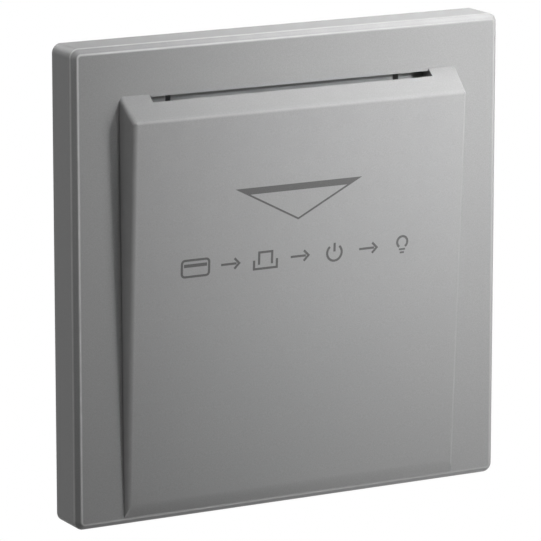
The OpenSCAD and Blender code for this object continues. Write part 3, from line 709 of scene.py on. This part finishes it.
def wire_ring(centre, out):
    """Points round the wire, in the plane that holds the coil's axis."""
    angles = [2 * math.pi * k / WIRE_SIDES for k in range(WIRE_SIDES)]
    return [centre + WIRE_R * (math.cos(a) * out + math.sin(a) * COIL_AXIS) for a in angles]


def wire_faces(steps):
    """Faces between the rings of a wire, with a cap at each end."""
    last = steps * WIRE_SIDES
    faces = [tuple(range(WIRE_SIDES)), tuple(last + k for k in reversed(range(WIRE_SIDES)))]
    for i in range(steps):
        a = i * WIRE_SIDES
        b = a + WIRE_SIDES
        for k in range(WIRE_SIDES):
            n = (k + 1) % WIRE_SIDES
            faces.append((a + k, b + k, b + n, a + n))
    return faces


def coil(name, low_y, high_y, turns, body, node):
    """Coil spring of round wire between two levels, in place of a CAD node."""
    total = turns + 2 * CLOSED_TURNS
    steps = int(round(total * STEPS_PER_TURN))
    first_y = low_y + WIRE_R
    length = high_y - low_y - 2 * WIRE_R
    points = []
    for i in range(steps + 1):
        wound = total * i / steps
        angle = 2 * math.pi * wound
        out = Vector((math.cos(angle), 0.0, math.sin(angle)))
        centre = Vector((0.0, first_y + coil_level(wound, turns, length), CARRIER_Z)) + COIL_R * out
        points += wire_ring(centre, out)
    spring = mesh_piece(name, points, wire_faces(steps), body, MATERIALS["steel"])
    spring.data.shade_smooth()
    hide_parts(node)
    return spring


def springs():
    low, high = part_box("contact_spring")
    coil("contact_spring_coil", low.y, high.y, CONTACT_TURNS, "carrier", "contact_spring")
    low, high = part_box("return_spring")
    wound = coil("return_spring_coil", low.y, high.y, RETURN_TURNS, "root", "return_spring")
    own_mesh(wound)


# Stage

def background_ray(tree):
    """One for rays that look at the background, straight, mirrored or through glass."""
    path = tree.nodes.new("ShaderNodeLightPath")
    first = tree.nodes.new("ShaderNodeMath")
    first.operation = "MAXIMUM"
    second = tree.nodes.new("ShaderNodeMath")
    second.operation = "MAXIMUM"
    tree.links.new(path.outputs["Is Camera Ray"], first.inputs[0])
    tree.links.new(path.outputs["Is Glossy Ray"], first.inputs[1])
    tree.links.new(first.outputs[0], second.inputs[0])
    tree.links.new(path.outputs["Is Transmission Ray"], second.inputs[1])
    return second.outputs[0]


# Strength of the world's light on the object, and of the white that is seen behind it
AMBIENT = 0.05
BACKGROUND = 1.0


def white_world():
    world = bpy.data.worlds.new("studio")
    bpy.context.scene.world = world
    world.use_nodes = True
    tree = world.node_tree
    soft = tree.nodes["Background"]
    soft.inputs["Color"].default_value = WHITE
    soft.inputs["Strength"].default_value = AMBIENT
    white = tree.nodes.new("ShaderNodeBackground")
    white.inputs["Color"].default_value = WHITE
    white.inputs["Strength"].default_value = BACKGROUND
    mix = tree.nodes.new("ShaderNodeMixShader")
    tree.links.new(background_ray(tree), mix.inputs[0])
    tree.links.new(soft.outputs[0], mix.inputs[1])
    tree.links.new(white.outputs[0], mix.inputs[2])
    tree.links.new(mix.outputs[0], tree.nodes["World Output"].inputs["Surface"])


# Floor far below the object. Its glow, added to the lamps' light, makes it look white
FLOOR_Z = -1.2
FLOOR_R = 2.4
FLOOR_SIDES = 96
FLOOR_GRAIN = 0.4
FLOOR_DARK = shade(0.86)
FLOOR_PALE = shade(0.9)
FLOOR_ROUGHNESS = 0.9
FLOOR_GLOW = 0.93


def floor_surface():
    """Pale floor that keeps the object's shadow, and that looks white where the shadow isn't."""
    graph = Graph("pale_floor")
    grain = graph.noise(FLOOR_GRAIN, detail=2.0)
    graph.surface("Base Color", graph.mix(graph.ramp(grain, NOISE_SPAN, RISE), FLOOR_DARK, FLOOR_PALE))
    graph.surface("Roughness", FLOOR_ROUGHNESS)
    graph.surface("Specular IOR Level", 0.0)
    graph.surface("Emission Color", WHITE)
    graph.surface("Emission Strength", graph.product(background_ray(graph.tree), FLOOR_GLOW))
    return graph.material


def pale_floor():
    angles = [2 * math.pi * i / FLOOR_SIDES for i in range(FLOOR_SIDES)]
    rim = [(FLOOR_R * math.cos(a), FLOOR_R * math.sin(a), FLOOR_Z) for a in angles]
    mesh = bpy.data.meshes.new("pale_floor")
    mesh.from_pydata(rim, [], [tuple(range(FLOOR_SIDES))])
    mesh.materials.append(floor_surface())
    floor = bpy.data.objects.new("pale_floor", mesh)
    bpy.context.scene.collection.objects.link(floor)


# Each lamp's name, place, size, power in watts, aim, and spread in degrees.
# Lamps with a narrow spread are aimed to the upper right, so their light fades to the lower left
WIDE = 180.0
MIDDLE = (0.0, 0.0, 0.0)
LAMPS = [
    ("near_key", (0.09, -0.16, 0.03), 0.06, 0.08, MIDDLE, WIDE),
    ("far_key", (0.25, -0.45, 0.20), 0.08, 0.060, (0.05, 0.0, 0.05), 27.0),
    ("low_key", (0.10, -0.50, -0.15), 0.10, 0.032, (0.06, 0.0, 0.06), 26.0),
    ("near_low", (0.10, -0.05, -0.14), 0.08, 0.052, MIDDLE, WIDE),
    ("left", (-0.40, -0.05, 0.08), 0.25, 0.20, MIDDLE, WIDE),
    ("front_top", (0.05, -0.10, 0.35), 0.15, 0.052, (0.03, -0.02, 0.04), 26.0),
    ("rear_top", (0.03, 0.05, 0.45), 0.15, 0.064, (0.09, 0.0, 0.04), 24.0),
    ("back", (-0.20, 0.72, 0.58), 0.50, 4.6, MIDDLE, WIDE),
]


def softbox(name, place, size, power, aim, spread):
    lamp = bpy.data.lights.new(name, "AREA")
    lamp.shape = "SQUARE"
    lamp.size = size
    lamp.energy = power
    lamp.spread = math.radians(spread)
    holder = bpy.data.objects.new(name, lamp)
    holder.location = place
    holder.rotation_euler = (Vector(aim) - Vector(place)).to_track_quat("-Z", "Y").to_euler()
    holder.visible_camera = False
    bpy.context.scene.collection.objects.link(holder)


def studio_light():
    for lamp in LAMPS:
        softbox(*lamp)


# Camera at the photograph's viewing angle; lens and sensor in millimetres
CAMERA_YAW = math.radians(28.555)
CAMERA_PITCH = math.radians(12.37)
CAMERA_FAR = 767.5 * MM
CAMERA_NEAREST = 10.0 * MM
CAMERA_AIM = Vector((0.31 * MM, 0.0, -1.87 * MM))
CAMERA_LENS = 282.87
CAMERA_SENSOR = 36.0


def photo_camera():
    camera = bpy.data.cameras.new("camera")
    camera.sensor_width = CAMERA_SENSOR
    camera.lens = CAMERA_LENS
    camera.clip_start = CAMERA_NEAREST
    holder = bpy.data.objects.new("camera", camera)
    bpy.context.scene.collection.objects.link(holder)
    level = math.cos(CAMERA_PITCH)
    ahead = Vector((math.sin(CAMERA_YAW) * level, math.cos(CAMERA_YAW) * level, -math.sin(CAMERA_PITCH)))
    holder.location = CAMERA_AIM - CAMERA_FAR * ahead
    holder.rotation_euler = ahead.to_track_quat("-Z", "Y").to_euler()
    bpy.context.scene.camera = holder


photo_camera()
dress_nodes()
triangle_sign()
sign_row()
springs()
white_world()
pale_floor()
studio_light()
bpy.context.scene.view_settings.view_transform = "Standard"
